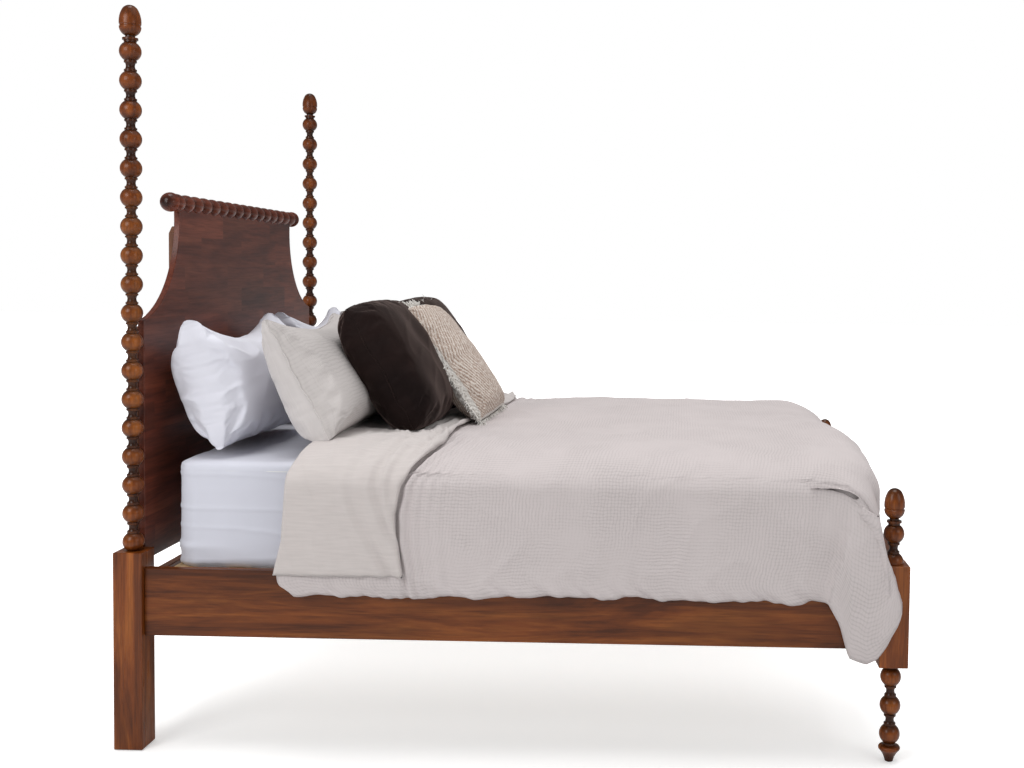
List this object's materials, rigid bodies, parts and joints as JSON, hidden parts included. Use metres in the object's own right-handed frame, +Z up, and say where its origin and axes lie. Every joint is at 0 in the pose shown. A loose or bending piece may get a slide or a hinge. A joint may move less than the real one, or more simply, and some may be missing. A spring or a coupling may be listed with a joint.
{
  "type": "spindle bed",
  "caption": "Queen-size spindle bed with tall turned bead posts, shaped headboard with a turned roll, low footboard and layered bedding.",
  "frame": {"origin": "on the floor, under the middle of the bed's length and width", "axes": "+X from the head to the foot, +Y to the sleeper's left, +Z up"},
  "size_m": [2.252, 1.725, 2.112],
  "materials": {
    "stained_wood": "satin stain and lacquer, reddish brown",
    "panel_wood": "glued staves, satin dark reddish brown",
    "back_wood": "lighter stain, satin",
    "slat_wood": "bare pale wood",
    "screw_steel": "zinc plated",
    "bolt_steel": "zinc plated",
    "hanger_steel": "black powder coat",
    "glide_plastic": "dull",
    "mattress_ticking": "woven ticking",
    "white_cotton": "plain white percale",
    "gauze_duvet": "crinkled double gauze, greige",
    "duvet_reverse": "smooth washed cotton, warm greige",
    "sham_linen": "washed linen gauze",
    "brown_velvet": "cotton velvet",
    "woven_accent": "woven chevron in tan and ivory",
    "accent_fringe": "off-white cotton edging and tassels"
  },
  "bodies": {
    "root": {"accent_pillow": "woven_accent", "beam_hanger_foot": "hanger_steel", "beam_hanger_head": "hanger_steel", "bolt_caps": "stained_wood", "centre_beam": "slat_wood", "cleat_screws": "screw_steel", "duvet": "gauze_duvet", "fitted_sheet": "white_cotton", "foot_finial_left": "stained_wood", "foot_finial_right": "stained_wood", "foot_glide_left": "glide_plastic", "foot_glide_right": "glide_plastic", "foot_post_left": "stained_wood", "foot_post_right": "stained_wood", "foot_rail": "stained_wood", "hanger_screws": "screw_steel", "head_cross_rail": "stained_wood", "head_finial_left": "stained_wood", "head_finial_right": "stained_wood", "head_glide_left": "glide_plastic", "head_glide_right": "glide_plastic", "head_post_left": "stained_wood", "head_post_right": "stained_wood", "headboard_batten_left": "back_wood", "headboard_batten_right": "back_wood", "headboard_panel": "panel_wood", "headboard_roll": "stained_wood", "headboard_screws": "screw_steel", "headboard_stile_left": "back_wood", "headboard_stile_right": "back_wood", "mattress": "mattress_ticking", "rail_barrel_nuts": "bolt_steel", "rail_bolts": "bolt_steel", "rail_washers": "bolt_steel", "sham_pillow_left": "sham_linen", "sham_pillow_right": "sham_linen", "side_rail_left": "stained_wood", "side_rail_right": "stained_wood", "slat_01": "slat_wood", "slat_02": "slat_wood", "slat_03": "slat_wood", "slat_04": "slat_wood", "slat_05": "slat_wood", "slat_06": "slat_wood", "slat_07": "slat_wood", "slat_08": "slat_wood", "slat_09": "slat_wood", "slat_10": "slat_wood", "slat_11": "slat_wood", "slat_12": "slat_wood", "slat_13": "slat_wood", "slat_cleat_left": "slat_wood", "slat_cleat_right": "slat_wood", "slat_screws": "screw_steel", "sleeping_pillow_left": "white_cotton", "sleeping_pillow_right": "white_cotton", "velvet_pillow_left": "brown_velvet", "velvet_pillow_right": "brown_velvet"}
  },
  "joints": []
}
